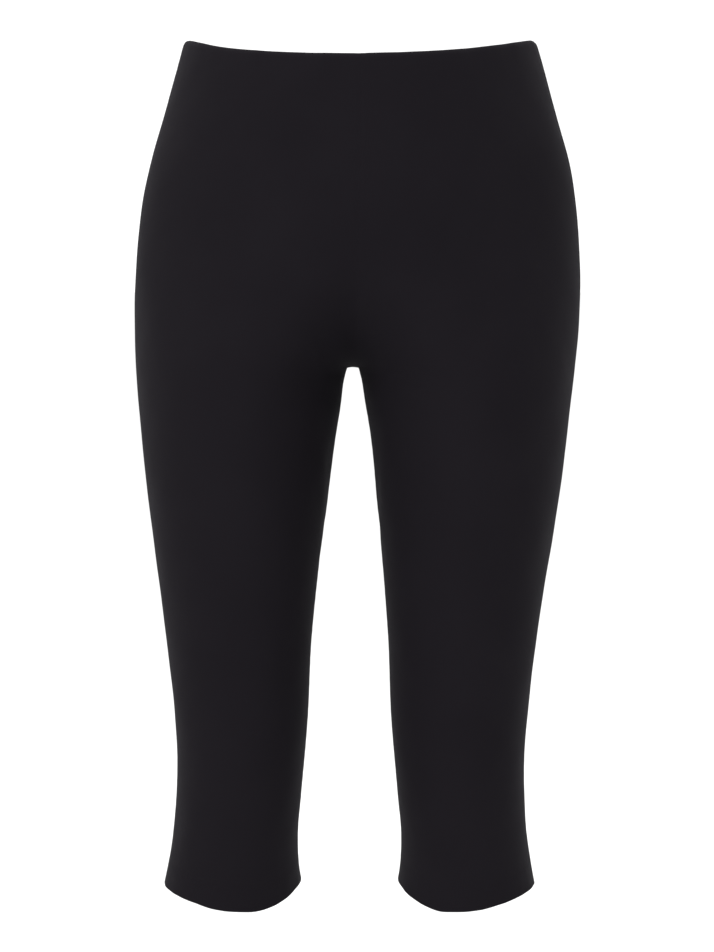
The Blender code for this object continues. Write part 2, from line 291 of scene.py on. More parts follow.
# ---- The finishes ----
WALE_M = 0.00075            # width of a knitted stitch
COURSE_M = 0.00055          # and its height
STITCH_SLANT = -1.5         # how many courses the stitches' legs slant in a wale
LOOP_SHARE = 0.3            # the single loops' share of the face's relief
BAR_SWAY = 0.2              # how far the bars of the reverse sway, in courses
FUZZ_SCALE = 1400.0         # fineness of the loose fibres
FUZZ_DETAIL = 2.0           # their finer detail
FUZZ_HEIGHT = 0.6           # and their height beside the stitches'
CLOUD_SCALE = 14.0          # fineness of the dye's clouds
CLOUD_DETAIL = 4.0          # their finer detail
CLOUD_TONE = 0.8            # their share of the tone
# Painted shade: the colour is darker in the knit's valleys between the stitches, by this share.
KNIT_VALLEY_SHADE = 0.25          # and the stitches' share
RELIEF_M = 0.00012          # depth of the stitches and fibres
RELIEF_STRENGTH = 0.35      # and how strongly it shades the cloth
ROUGHNESS = (0.93, 0.80)    # of the darkest and the lightest dye
GLOSS = 0.048               # specular level
SHEEN_ROUGHNESS = 0.35
SHEEN_TINT = (0.92, 0.90, 1.0, 1.0)

# The darkest and lightest colour, between which the dye's clouds and, on the knit, painted shade in the
# valleys between its stitches move the colour; the sheen's weight, and the side of the knit (thread has
# none).
FINISHES = {
    "black_knit": ((0.0046, 0.0038, 0.0052), (0.0063, 0.0053, 0.0070), 0.0200, "Face"),
    "black_knit_reverse": ((0.0054, 0.0047, 0.0061), (0.0075, 0.0067, 0.0085), 0.0250, "Reverse"),
    "black_thread": ((0.0051, 0.0040, 0.0055), (0.0078, 0.0065, 0.0085), 0.0210, None),
}

# ---- Stage, lights and camera ----
FLOOR_LEVEL_M = -1.02       # where the wearer would stand
FLOOR_SIZE_M = 60.0
FLOOR_COLOUR = (0.85, 0.85, 0.85, 1.0)
FLOOR_ROUGHNESS = 0.9
FLOOR_GLOSS = 0.1           # specular level
SURROUND = 1.2              # strength of the white light from all round

# Softboxes: name, place, target, width and height in metres, and power in watts.
LIGHTS = (
    ("key", (-2.1, -2.5, 0.9), (0.0, 0.0, 0.1), 1.6, 2.4, 86.0),
    ("fill", (2.4, -1.9, 0.4), (0.0, 0.0, -0.3), 1.4, 2.4, 19.0),
    ("top", (0.0, 0.05, 0.8), (0.0, 0.0, 0.0), 1.4, 0.5, 10.0),
)

CAMERA_AT_M = (-0.0026, -1.8, -0.15)
CAMERA_PITCH = 6.283        # downwards
FOCAL_PIXELS = 2223.0       # focal length, in pixels of the frame
FRAME_PIXELS = 952          # the frame's long side
SENSOR = 36.0               # and its length on the sensor


# ---------------------------------------------------------------------------- form

def through_rows(stations, values, at):
    """Read a smooth curve through the rows of a table (cubic Hermite, centred slopes)."""
    slopes = np.gradient(values, stations)
    row = np.clip(np.searchsorted(stations, at) - 1, 0, len(stations) - 2)
    step = stations[row + 1] - stations[row]
    part = (at - stations[row]) / step
    rest = 1 - part
    start = (1 + 2 * part) * rest ** 2 * values[row] + part * rest ** 2 * step * slopes[row]
    end = part ** 2 * (3 - 2 * part) * values[row + 1] - part ** 2 * rest * step * slopes[row + 1]
    return start + end


def size(column, level):
    """One of the section sizes at each level."""
    return through_rows(SECTIONS[:, 0], SECTIONS[:, SECTION_COLUMNS.index(column)], level)


def half_gap(level):
    """Half the gap between the legs; its square is what grows smoothly from the crotch."""
    square = through_rows(GAPS[:, 0], GAPS[:, 1] ** 2, level - CROTCH)
    return np.sqrt(np.maximum(square, 0.0))


def smooth_step(start, end, level):
    """Rises from 0 at start to 1 at end."""
    part = np.clip((level - start) / (end - start), 0.0, 1.0)
    return part ** 2 * (3 - 2 * part)


def reach_of(side, level):
    """How far the front or the back reaches from the side seam's plane."""
    return size("front" if side == FRONT else "back", level)


def ring(level):
    """Crown, outer and inner radius, and inner angle of the round that half a section follows."""
    crown = np.hypot(np.maximum(size("crown", level), 0.0), CLEFT)
    outer = np.hypot(size("width", level), CLEFT)
    height = np.maximum(CROTCH - level, 0.0)
    past_centre = ARCH_START * height + (ARCH_SLOPE - ARCH_START) * height ** 2 / (height + ARCH_BEND)
    to_centre = crown - CLEFT + past_centre
    in_leg = level > CROTCH
    inner_radius = np.where(in_leg, crown - np.hypot(half_gap(level), CLEFT), to_centre)
    share = np.clip(-(crown - CLEFT) / np.maximum(to_centre, TINY), -1.0, 1.0)
    return crown, outer - crown, inner_radius, np.where(in_leg, math.pi, np.arccos(share))


def measured_section(level, side):
    """Angles along each half section, and the length from the side seam to each of them."""
    crown, outer_radius, inner_radius, inner_angle = ring(level)
    angles = inner_angle[:, None] * np.linspace(0.0, 1.0, ARC_STEPS + 1)
    radius = np.where(angles < math.pi / 2, outer_radius[:, None], inner_radius[:, None])
    across = crown[:, None] + radius * np.cos(angles)
    x = np.sqrt(np.maximum(across ** 2 - CLEFT ** 2, 0.0))
    y = reach_of(side, level)[:, None] * np.sin(angles)
    steps = np.hypot(np.diff(x, axis=1), np.diff(y, axis=1))
    run = np.concatenate((np.zeros((len(level), 1)), np.cumsum(steps, axis=1)), axis=1)
    return angles, run


def run_at_share(level, side, share):
    """Length from the side seam to a mesh column at its share of the way, and to the inner edge."""
    _, run = measured_section(level, side)
    whole = run[:, -1]
    spread = whole * math.pi * (1 + smooth_step(FORK_TOP, FORK_END, level)) / 2 / ring(level)[3]
    return spread * (1 - share) + (whole - spread) * (1 - share) ** INNER_PULL, whole


def on_section(level, side, along):
    """Points of a left panel's outer face at lengths along from the side seam."""
    angles, run = measured_section(level, side)
    along = np.clip(along, 0.0, run[:, -1])
    step = np.clip((run <= along[:, None]).sum(axis=1) - 1, 0, ARC_STEPS - 1)
    rows = np.arange(len(level))
    before, after = run[rows, step], run[rows, step + 1]
    part = (along - before) / np.maximum(after - before, TINY)
    angle = angles[rows, step] + part * (angles[rows, step + 1] - angles[rows, step])
    crown, outer_radius, inner_radius, _ = ring(level)
    across = crown + np.where(angle < math.pi / 2, outer_radius, inner_radius) * np.cos(angle)
    x = np.sqrt(np.maximum(across ** 2 - CLEFT ** 2, 0.0))
    y = size("seam_y", level) + side * reach_of(side, level) * np.sin(angle)
    return np.stack((x, y, -level), axis=1)


def height_above_cloth(points, side):
    """Negative inside the garment, zero on its outer face and positive outside."""
    level = -points[:, 2]
    crown, outer_radius, inner_radius, _ = ring(level)
    across = np.hypot(points[:, 0], CLEFT) - crown
    across = across / np.where(across > 0, outer_radius, inner_radius)
    along = (points[:, 1] - size("seam_y", level)) / reach_of(side, level)
    return across ** 2 + along ** 2 - 1


def outward(points, side):
    """Unit normals of the outer face."""
    slope = np.zeros_like(points)
    for axis in range(3):
        offset = np.zeros(3)
        offset[axis] = NORMAL_STEP
        ahead = height_above_cloth(points + offset, side)
        slope[:, axis] = ahead - height_above_cloth(points - offset, side)
    return slope / np.linalg.norm(slope, axis=1, keepdims=True)


def waist_dip(level, share, side, hand):
    """How far the waist edge's dip lowers a point; it fades out down to the fork."""
    fade = 1 - smooth_step(WAIST_TURN, DIP_END, level)
    if side == BACK:
        return fade * BACK_DIP * (1 - share ** 2) ** DIP_POWER
    falls = WAIST_LINE[:, 2 if hand == LEFT else 1]
    return fade * through_rows(WAIST_LINE[:, 0], falls, share)


def hem_fall(level, share, side):
    """How far the hem's line lowers a point; it fades out up the leg."""
    fade = np.clip((level - CROTCH) / (HEM - CROTCH), 0.0, 1.0) ** HEM_FADE
    if side == FRONT:
        return fade * through_rows(HEM_LINE[:, 0], HEM_LINE[:, 1], share)
    inner_fall, outer_fall = HEM_LINE[0, 1], HEM_LINE[-1, 1]
    across = inner_fall + (outer_fall - inner_fall) * share
    return fade * (across - HEM_RISE * np.sin(math.pi * share) ** 2)


# ---------------------------------------------------------------------------- relief

def crease_relief(leg, side, level, along, whole):
    """Height added by the leg's soft creases."""
    relief = np.zeros_like(level)
    girth = measured_section(level, -side)[1][:, -1] + whole
    for crease in CREASES:
        if crease.leg != leg:
            continue
        crease_side = FRONT if crease.around < 0 else BACK
        half = measured_section(np.array((crease.level,)), crease_side)[1][0, -1]
        away = side * along - crease_side * abs(crease.around) * half
        away = np.where(level > CROTCH, (away + girth / 2) % girth - girth / 2, away)
        below = level - crease.level
        slant = math.radians(crease.slant)
        reach = 2 * (away * math.cos(slant) + below * math.sin(slant)) / crease.length
        off_line = below * math.cos(slant) - away * math.sin(slant) + crease.bow * reach ** 2
        off_line /= crease.width
        fade = np.exp(-np.abs(reach) ** CREASE_ENDS)
        lips = np.exp(-(off_line - LIP_AT) ** 2) + np.exp(-(off_line + LIP_AT) ** 2)
        relief += crease.depth * fade * (LIP * lips - np.exp(-off_line ** 2))
    return relief


def waves(row_level, level, around, hand):
    """Slow unevenness of the stretched cloth, and the ripples of the waist edge and the hems."""
    relief = np.zeros_like(level)
    for height, down, across, phase in UNEVEN:
        relief += height * np.sin(2 * math.pi * (level / down + around / across) + phase * (2 + hand))
    ripple = sum(height * np.sin(2 * math.pi * around / length + phase + hand)
                 for height, length, phase in RIPPLES)
    to_edge = np.minimum(row_level, HEM - row_level)
    return relief + ripple * np.exp(-to_edge / RIPPLE_REACH)


def puckers(level, to_seam, hand):
    """Small puckers along the seams."""
    height = sum(np.sin(2 * math.pi * level / length + hand + length) for length in PUCKER_LENGTHS)
    return PUCKER * height / len(PUCKER_LENGTHS) * np.exp(-to_seam / PUCKER_REACH)


def seam_roll(side, level, to_seam, inner):
    """How deep the cloth rolls into the seams; it lies flat at the crotch point."""
    depth = np.where(inner & (level < CROTCH) & (side == FRONT), FRONT_SEAM_DEPTH, SEAM_DEPTH)
    depth = depth * (1 - inner * np.exp(-((level - CROTCH) / CROTCH_FLAT) ** 2))
    return depth * np.exp(-(to_seam / SEAM_ROLL) ** 2)


def cloth_relief(row_level, level, along, whole, side, hand):
    """Height of the cloth above its plain form: creases, unevenness, rippled edges, rolled seams."""
    from_inner = whole - along
    to_seam = np.minimum(along, from_inner)
    relief = crease_relief(hand, side, level, along, whole)
    grown = 1 - np.exp(-(from_inner / INNER_REACH) ** 2)
    relief += waves(row_level, level, side * along, hand) * grown
    relief += puckers(level, to_seam, hand)
    return relief - seam_roll(side, level, to_seam, along > whole / 2)


def stance_shift(x, level):
    """How far the stance moves a point sideways: the sway, and the lean of the legs' inner sides."""
    inner = 1 - np.minimum(x / size("width", level), 1.0) ** 2
    return size("sway", level) + size("lean", level) * inner


def open_arch(points, in_leg, level, from_inner):
    """Widen the top of the arch between the legs."""
    widening = np.exp(-np.abs(level - CROTCH) / FLAT_HEIGHT - (from_inner / FLAT_REACH) ** 2)
    by_centre = 1 - np.exp(-(from_inner / FLAT_EDGE) ** 2)
    points[:, 0] += ARCH_FLAT * widening * np.where(in_leg, 1.0, by_centre)


def meet_at_seams(points, side, in_leg, along, from_inner):
    """Keep a panel on its own side of its seams, with only its sewn edges in its neighbours'."""
    points[:, 0] = np.where(in_leg | (from_inner > 0), np.maximum(points[:, 0], 0.0), -SEAM_LAP)
    seam_y = size("seam_y", -points[:, 2])
    sewn = (along <= 0) | (in_leg & (from_inner <= 0))
    off_plane = np.where(sewn, -SEAM_LAP, np.maximum(side * (points[:, 1] - seam_y), 0.0))
    points[:, 1] = seam_y + side * off_plane


def cloth_points(side, hand, row_level, share, inward=0.0, off_edge=None):
    """Points of a panel in metres at an inward depth under its outer face, their outward normals, their
    length from the side seam, and the whole length there.

    off_edge, where it isn't nan, sets a point at that distance from the panel's edge: from its inner
    edge where the share is 0, and from the side seam where it is 1.
    """
    spread = np.broadcast_arrays(np.asarray(row_level, float), share)
    row_level, share = (values.ravel() for values in spread)
    level = row_level + waist_dip(row_level, share, side, hand) + hem_fall(row_level, share, side)
    along, whole = run_at_share(level, side, share)
    if off_edge is not None:
        off_edge = np.broadcast_to(off_edge, along.shape)
        set_place = np.where(share > 0.5, off_edge, whole - off_edge)
        along = np.where(np.isnan(off_edge), along, set_place)
    plain = on_section(level, side, along)
    normals = outward(plain, side)
    relief = cloth_relief(row_level, level, along, whole, side, hand)
    points = plain + normals * (relief - inward)[:, None]
    in_leg = level > CROTCH
    open_arch(points, in_leg, level, whole - along)
    meet_at_seams(points, side, in_leg, along, whole - along)
    points[:, 0] = hand * points[:, 0] + stance_shift(points[:, 0], -points[:, 2])
    normals[:, 0] *= hand
    return points * MM, normals, along, whole


# ---------------------------------------------------------------------------- materials

def new_group(name, inputs, outputs):
    """A shader node group with its named sockets, and its input and output nodes."""
    group = bpy.data.node_groups.new(name, "ShaderNodeTree")
    for socket, kind, value in inputs:
        made = group.interface.new_socket(socket, in_out="INPUT", socket_type=kind)
        if value is not None:
            made.default_value = value
    for socket, kind in outputs:
        group.interface.new_socket(socket, in_out="OUTPUT", socket_type=kind)
    return group, group.nodes.new("NodeGroupInput"), group.nodes.new("NodeGroupOutput")


def math_node(tree, operation, first, second=None, third=None):
    """A Math node; each of its values is a socket or a number."""
    node = tree.nodes.new("ShaderNodeMath")
    node.operation = operation
    for place, value in enumerate((first, second, third)):
        if value is None:
            continue
        if isinstance(value, bpy.types.NodeSocket):
            tree.links.new(value, node.inputs[place])
        else:
            node.inputs[place].default_value = value
    return node.outputs[0]


def knit_group():
    """Height of a fine knit: on the face, columns of slanted stitch legs; on the back, level bars."""
    group, sockets, result = new_group(
        "knit",
        (("Cloth", "NodeSocketVector", None), ("Wale", "NodeSocketFloat", WALE_M),
         ("Course", "NodeSocketFloat", COURSE_M)),
        (("Face", "NodeSocketFloat"), ("Reverse", "NodeSocketFloat")),
    )
    place = group.nodes.new("ShaderNodeSeparateXYZ")
    group.links.new(sockets.outputs["Cloth"], place.inputs[0])
    wales = math_node(group, "DIVIDE", place.outputs["X"], sockets.outputs["Wale"])
    courses = math_node(group, "DIVIDE", place.outputs["Y"], sockets.outputs["Course"])
    across = math_node(group, "SUBTRACT", math_node(group, "FRACT", wales), 0.5)
    off_middle = math_node(group, "ABSOLUTE", across)
    leg = math_node(group, "SINE", math_node(group, "MULTIPLY", off_middle, 2 * math.pi))
    slanted = math_node(group, "MULTIPLY_ADD", off_middle, STITCH_SLANT, courses)
    loop = math_node(group, "SINE", math_node(group, "MULTIPLY", slanted, 2 * math.pi))
    looped = math_node(group, "MULTIPLY_ADD", loop, LOOP_SHARE, 1 - LOOP_SHARE)
    group.links.new(math_node(group, "MULTIPLY", leg, looped), result.inputs["Face"])
    sway = math_node(group, "COSINE", math_node(group, "MULTIPLY", wales, 2 * math.pi))
    bars = math_node(group, "MULTIPLY_ADD", sway, BAR_SWAY, courses)
    reverse = math_node(group, "SINE", math_node(group, "MULTIPLY", bars, 2 * math.pi))
    group.links.new(math_node(group, "MULTIPLY_ADD", reverse, 0.5, 0.5), result.inputs["Reverse"])
    return group


def fibre_group():
    """Loose fibres on the yarn, and slow clouding of the dye, on object coordinates."""
    group, sockets, result = new_group(
        "fibre",
        (("Place", "NodeSocketVector", None), ("Fuzz Scale", "NodeSocketFloat", FUZZ_SCALE),
         ("Cloud Scale", "NodeSocketFloat", CLOUD_SCALE)),
        (("Fuzz", "NodeSocketFloat"), ("Cloud", "NodeSocketFloat")),
    )
    for output, detail in (("Fuzz", FUZZ_DETAIL), ("Cloud", CLOUD_DETAIL)):
        noise = group.nodes.new("ShaderNodeTexNoise")
        noise.inputs["Detail"].default_value = detail
        group.links.new(sockets.outputs["Place"], noise.inputs["Vector"])
        group.links.new(sockets.outputs[output + " Scale"], noise.inputs["Scale"])
        group.links.new(noise.outputs["Fac"], result.inputs[output])
    return group


def placed_group(tree, group, socket, value):
    """A node group placed in a material, with a value fed to one of its sockets."""
    node = tree.nodes.new("ShaderNodeGroup")
    node.node_tree = group
    tree.links.new(value, node.inputs[socket])
    return node


def ranged(tree, value, low, high):
    """Spread a 0 to 1 value between two others."""
    node = tree.nodes.new("ShaderNodeMapRange")
    tree.links.new(value, node.inputs["Value"])
    node.inputs["To Min"].default_value = low
    node.inputs["To Max"].default_value = high
    return node.outputs["Result"]


def dyed_with_knit_shade(tree, dye_and_knit_shade, dark, light):
    """The colour at each tone: the dye's clouds, and on the knit also painted shade in the valleys
    between its stitches.
    """
    node = tree.nodes.new("ShaderNodeMix")
    node.data_type = "RGBA"
    tree.links.new(dye_and_knit_shade, node.inputs["Factor"])
    node.inputs["A"].default_value = (*dark, 1.0)
    node.inputs["B"].default_value = (*light, 1.0)
    return node.outputs["Result"]


def black_finish(name, groups, dark, light, sheen, knit_side):
    """Black cloth or thread: clouded dye, loose fibres, and the knit's relief on the cloth, whose
    valleys between the stitches are also painted darker in the colour as painted shade.
    """
    material = bpy.data.materials.new(name)
    material.use_nodes = True
    tree = material.node_tree
    shader = tree.nodes["Principled BSDF"]
    place = tree.nodes.new("ShaderNodeTexCoord")
    fibre = placed_group(tree, groups["fibre"], "Place", place.outputs["Object"])
    dye_and_knit_shade = fibre.outputs["Cloud"]
    height = fibre.outputs["Fuzz"]
    if knit_side:
        cloth = tree.nodes.new("ShaderNodeUVMap")
        cloth.uv_map = "cloth"
        knit = placed_group(tree, groups["knit"], "Cloth", cloth.outputs["UV"])
        stitches = knit.outputs[knit_side]
        height = math_node(tree, "MULTIPLY_ADD", height, FUZZ_HEIGHT, stitches)
        # Painted shade: the knit's valleys between the stitches darken the colour.
        clouds = math_node(tree, "MULTIPLY", dye_and_knit_shade, CLOUD_TONE)
        dye_and_knit_shade = math_node(tree, "MULTIPLY_ADD", stitches, KNIT_VALLEY_SHADE, clouds)
    tree.links.new(dyed_with_knit_shade(tree, dye_and_knit_shade, dark, light), shader.inputs["Base Color"])
    tree.links.new(ranged(tree, dye_and_knit_shade, *ROUGHNESS), shader.inputs["Roughness"])
    bump = tree.nodes.new("ShaderNodeBump")
    bump.inputs["Strength"].default_value = RELIEF_STRENGTH
    bump.inputs["Distance"].default_value = RELIEF_M
    tree.links.new(height, bump.inputs["Height"])
    tree.links.new(bump.outputs["Normal"], shader.inputs["Normal"])
    shader.inputs["Specular IOR Level"].default_value = GLOSS
    shader.inputs["Sheen Weight"].default_value = sheen
    shader.inputs["Sheen Roughness"].default_value = SHEEN_ROUGHNESS
    shader.inputs["Sheen Tint"].default_value = SHEEN_TINT
    return material


def make_finishes():
    """The face of the cloth, its reverse, and the thread."""
    groups = {"knit": knit_group(), "fibre": fibre_group()}
    return [black_finish(name, groups, *looks) for name, looks in FINISHES.items()]


# ---------------------------------------------------------------------------- panels

def rows_between(start, end):
    """Levels of evenly spaced mesh rows."""
    return np.linspace(start, end, round((end - start) / ROW_STEP) + 1)


def fold_profile():
    """Rows of a panel from the tip of the waist fold to the tip of the hem: level, depth on the
    outer side, and depth on the inner side."""
    radius = TURNED / 2
    turn = np.linspace(math.pi / 2, 0.0, EDGE_STEPS + 1)
    edge_level = radius * (1 - np.sin(turn))
    edge_depth = radius * (1 - np.cos(turn))
    casing = np.linspace(RIM_ROWS[-1], WAIST_TURN, round(WAIST_TURN / ROW_STEP))
    casing = np.concatenate((RIM_ROWS[:-1], casing))
    at_crotch = CROTCH + np.array(CROTCH_ROWS)
    trunk = rows_between(CASING_END, at_crotch[0])
    legs = rows_between(at_crotch[-1], HEM_START)
    body = np.concatenate((trunk, at_crotch[1:-1], legs))
    hem = HEM - np.linspace(HEM_TURN, radius + LAST_HEM_ROW, round(HEM_TURN / ROW_STEP))
    level = np.concatenate((edge_level, casing, body, hem, HEM - edge_level[::-1]))
    flat = np.zeros(len(casing) + len(body) + len(hem))
    walls = np.repeat((TURNED, PLY, TURNED), (len(casing), len(body), len(hem)))
    lean = CASING_ROLL * np.clip(1 - level / ROLL_REACH, 0.0, 1.0) ** ROLL_POWER
    outer = lean + np.concatenate((edge_depth, flat, edge_depth[::-1]))
    inner = lean + np.concatenate((TURNED - edge_depth, walls, TURNED - edge_depth[::-1]))
    return level, outer, inner


def panel_columns():
    """Share of each mesh column, and its set distance from a seam next to the seams (else nan)."""
    shares = np.linspace(0.0, 1.0, COLUMNS + 1)[1:-1]
    blank = np.full(len(shares), np.nan)
    near = np.array(SEAM_COLUMNS)
    share = np.concatenate((np.zeros(len(near)), shares, np.ones(len(near))))
    return share, np.concatenate((near, blank, near[::-1]))


def wall_faces(rows, columns):
    """Quads of a wall whose outer points come first and inner points after them, tips shared."""
    behind = rows * columns
    faces = []
    for row in range(rows - 1):
        first = row * columns
        for column in range(columns - 1):
            at = first + column
            quad = (at, at + columns, at + columns + 1, at + 1)
            faces.append(quad)
            faces.append(tuple(index + behind for index in reversed(quad)))
        last = first + columns - 1
        faces.append((first, first + behind, first + columns + behind, first + columns))
        faces.append((last + columns, last + columns + behind, last + behind, last))
    return faces


def linked(name, data):
    """A new object in the scene."""
    made = bpy.data.objects.new(name, data)
    bpy.context.scene.collection.objects.link(made)
    return made


def mesh_object(name, points, faces, materials):
    """A mesh of points in metres as an object at the origin."""
    mesh = bpy.data.meshes.new(name)
    mesh.from_pydata(points.tolist(), [], faces)
    for material in materials:
        mesh.materials.append(material)
    return linked(name, mesh)


def select_only(piece):
    """Select this piece and nothing else."""
    bpy.ops.object.select_all(action="DESELECT")
    piece.select_set(True)
    bpy.context.view_layer.objects.active = piece


def weld(piece):
    """Close a mesh's doubled points and turn its faces outwards."""
    select_only(piece)
    bpy.ops.object.mode_set(mode="EDIT")
    bpy.ops.mesh.select_all(action="SELECT")
    bpy.ops.mesh.remove_doubles(threshold=DOUBLED_M)
    bpy.ops.mesh.normals_make_consistent(inside=False)
    bpy.ops.object.mode_set(mode="OBJECT")


def map_cloth(mesh, across, down):
    """Map a panel as flat cloth, in metres; its two faces share the place of each grid point."""
    layer = mesh.uv_layers.new(name="cloth")
    corner = np.zeros(len(mesh.loops), np.int32)
    mesh.loops.foreach_get("vertex_index", corner)
    of_grid = corner % len(across)
    layer.data.foreach_set("uv", np.stack((across[of_grid], down[of_grid]), axis=1).ravel())


def make_panel(name, side, hand, finishes):
    """One panel of cloth as a closed shell, with its casing and hem turned in."""
    profile = np.array(fold_profile())
    spread = np.array(panel_columns())
    rows, columns = profile.shape[1], spread.shape[1]
    level, outer_depth, inner_depth = np.repeat(profile, columns, axis=1)
    share, set_place = np.tile(spread, rows)
    outer, _, along, whole = cloth_points(side, hand, level, share, outer_depth, set_place)
    inner = cloth_points(side, hand, level, share, inner_depth, set_place)[0]
    piece = mesh_object(name, np.concatenate((outer, inner)), wall_faces(rows, columns), finishes)
    mesh = piece.data
    map_cloth(mesh, (along - whole / 2) * MM, -level * MM)
    inside = [any(index >= len(outer) for index in face.vertices) for face in mesh.polygons]
    mesh.polygons.foreach_set("material_index", np.array(inside, np.int32))
    weld(piece)
    mesh.shade_smooth()
    mesh.set_sharp_from_angle(angle=math.radians(SHARP_EDGE))
    return piece


# ---------------------------------------------------------------------------- sewing

def by_seam(seam, level, across, inward):
    """Points in metres at levels along a seam, at distances across it and depths inside the cloth."""
    spread = np.broadcast_arrays(level, across, inward)
    level, across, inward = (values.ravel() for values in spread)
    points = np.zeros((len(level), 3))
    for chosen, (side, hand) in ((across >= 0, seam.pressed_to), (across < 0, seam.pressed_from)):
        if chosen.any():
            points[chosen] = cloth_points(side, hand, level[chosen], seam.edge, inward[chosen],
                                          np.abs(across[chosen]))[0]
    return points


def tube_faces(rows, around):
    """Quads of a tube of rows of points, and its two end caps."""
    faces = []
    for row in range(rows - 1):
        for at in range(around):
            after = (at + 1) % around
            here, below = row * around, (row + 1) * around
            faces.append((here + at, here + after, below + after, below + at))
    faces.append(tuple(range(around)))
    faces.append(tuple(range(rows * around - 1, (rows - 1) * around - 1, -1)))
    return faces


def make_allowance(seam, finish):
    """The overlocked edges of two panels, pressed to one side along the inside of their seam."""
    levels = rows_between(seam.start, seam.end)
    across, height = np.tile(ALLOWANCE_SECTION, (len(levels), 1)).T
    around = len(ALLOWANCE_SECTION)
    points = by_seam(seam, np.repeat(levels, around), across, PLY + ALLOWANCE_PLIES * height)
    piece = mesh_object(seam.name, points, tube_faces(len(levels), around), (finish,))
    weld(piece)
    piece.data.shade_smooth()
    return piece


def thread_piece(name, lines, finish):
    """Threads of one thickness along lines of points, as a mesh."""
    curve = bpy.data.curves.new(name, "CURVE")
    curve.dimensions = "3D"
    curve.bevel_depth = THREAD * MM
    curve.bevel_resolution = 1
    curve.use_fill_caps = True
    for points, closed in lines:
        spline = curve.splines.new("POLY")
        spline.points.add(len(points) - 1)
        spline.points.foreach_set("co", np.column_stack((points, np.ones(len(points)))).ravel())
        spline.use_cyclic_u = closed
    curve.materials.append(finish)
    piece = linked(name, curve)
    select_only(piece)
    bpy.ops.object.convert(target="MESH")
    piece.data.shade_smooth()
    return piece


def make_overlock(seam, finish):
    """Overlock threads over a seam allowance: a looper round its edge, and the needle's line."""
    bites = round((seam.end - seam.start) / OVERLOCK_BITE)
    step = (seam.end - seam.start) / bites
    top = PLY + ALLOWANCE_PLIES
    share, across, height = LOOPER.T
    level = seam.start + step * (np.arange(bites)[:, None] + share)
    looper = by_seam(seam, level, across, top + height)
    level = seam.start + step * np.arange(2 * bites) / 2
    height = np.where(np.arange(2 * bites) % 2, NEEDLE_UP, NEEDLE_DOWN)
    needle = by_seam(seam, level, NEEDLE_LINE, top + height)
    return thread_piece(seam.name + "_overlock", ((looper, False), (needle, False)), finish)


def line_round(panels, row_level, inward):
    """Points of a closed line round the garment, over some of its panels, and their normals."""
    points, normals = [], []
    for side, hand, first, last in panels:
        share = np.linspace(first, last, SIDE_STEPS)
        found = cloth_points(side, hand, np.full(SIDE_STEPS, row_level), share, inward)
        points.append(found[0])
        normals.append(found[1])
    return np.concatenate(points), np.concatenate(normals)


def leg_round(hand):
    """The panels that a line round a leg passes, as in WAIST_ROUND."""
    return ((FRONT, hand, SIDE_SEAM, INNER_EDGE), (BACK, hand, INNER_EDGE, SIDE_SEAM))


def run_round(line):
    """Length from the first point of a closed line to each other, and round to itself."""
    steps = np.diff(np.concatenate((line, line[:1])), axis=0)
    return np.concatenate(((0.0,), np.cumsum(np.linalg.norm(steps, axis=1))))


def steps_round(line, pitch):
    """How many steps of about this pitch go round a closed line."""
    return round(run_round(line)[-1] / MM / pitch)


def evenly_along(line, others, count):
    """Values of other arrays at count even steps round a closed line."""
    run = run_round(line)
    at = run[-1] * np.arange(count) / count
    found = []
    for values in others:
        closed = np.concatenate((values, values[:1]))
        found.append(np.stack([np.interp(at, run, column) for column in closed.T], axis=1))
    return found


def make_zigzag(name, panels, rows, pitch, finish):
    """A thread that zigzags round a turned-in edge, between two rows given by level and depth."""
    lines = [line_round(panels, *row)[0] for row in rows]
    count = 2 * steps_round(lines[0], pitch)
    first, second = evenly_along(lines[0], lines, count)
    zigzag = np.where((np.arange(count) % 2 == 0)[:, None], first, second)
    return thread_piece(name, ((zigzag, True),), finish)


def make_stitch():
    """One lockstitch along +X that dips into the cloth at both ends, modelled in millimetres."""
    bpy.ops.object.select_all(action="DESELECT")
    bpy.ops.mesh.primitive_uv_sphere_add(segments=8, ring_count=6, radius=0.5)
    stitch = bpy.context.object
    bpy.ops.object.mode_set(mode="EDIT")
    bpy.ops.mesh.select_all(action="SELECT")
    bpy.ops.transform.rotate(value=math.pi / 2, orient_axis="Y", center_override=(0.0, 0.0, 0.0))
    bpy.ops.transform.resize(value=(STITCH_LENGTH, STITCH_WIDTH, STITCH_HEIGHT))
    bpy.ops.mesh.select_all(action="DESELECT")
    bpy.ops.object.mode_set(mode="OBJECT")
    for vertex in stitch.data.vertices:
        vertex.select = abs(vertex.co.x) > STITCH_ENDS * STITCH_LENGTH
    bpy.ops.object.mode_set(mode="EDIT")
    bpy.ops.transform.translate(value=(0.0, 0.0, -STITCH_DIP * STITCH_HEIGHT))
    bpy.ops.object.mode_set(mode="OBJECT")
    return stitch


def make_hem_stitches(name, hand, stitch, finish):
    """The twin row of stitches round a hem, each stitch a copy of one model."""
    template = np.array([vertex.co for vertex in stitch.data.vertices]) * MM
    template_faces = [tuple(face.vertices) for face in stitch.data.polygons]
    points, faces = [], []
    for distance in HEM_ROWS:
        line, normals = line_round(leg_round(hand), HEM - distance, 0.0)
        place, normal = evenly_along(line, (line, normals), steps_round(line, STITCH_PITCH))
        ahead = np.roll(place, -1, axis=0) - np.roll(place, 1, axis=0)
        ahead /= np.linalg.norm(ahead, axis=1, keepdims=True)
        beside = np.cross(normal, ahead)
        beside /= np.linalg.norm(beside, axis=1, keepdims=True)
        for at, x_axis, y_axis in zip(place, ahead, beside):
            z_axis = np.cross(x_axis, y_axis)
            first = len(points) * len(template)
            points.append(at + template @ np.stack((x_axis, y_axis, z_axis)))
            faces += [tuple(first + index for index in face) for face in template_faces]
    piece = mesh_object(name, np.concatenate(points), faces, (finish,))
    piece.data.shade_smooth()
    return piece


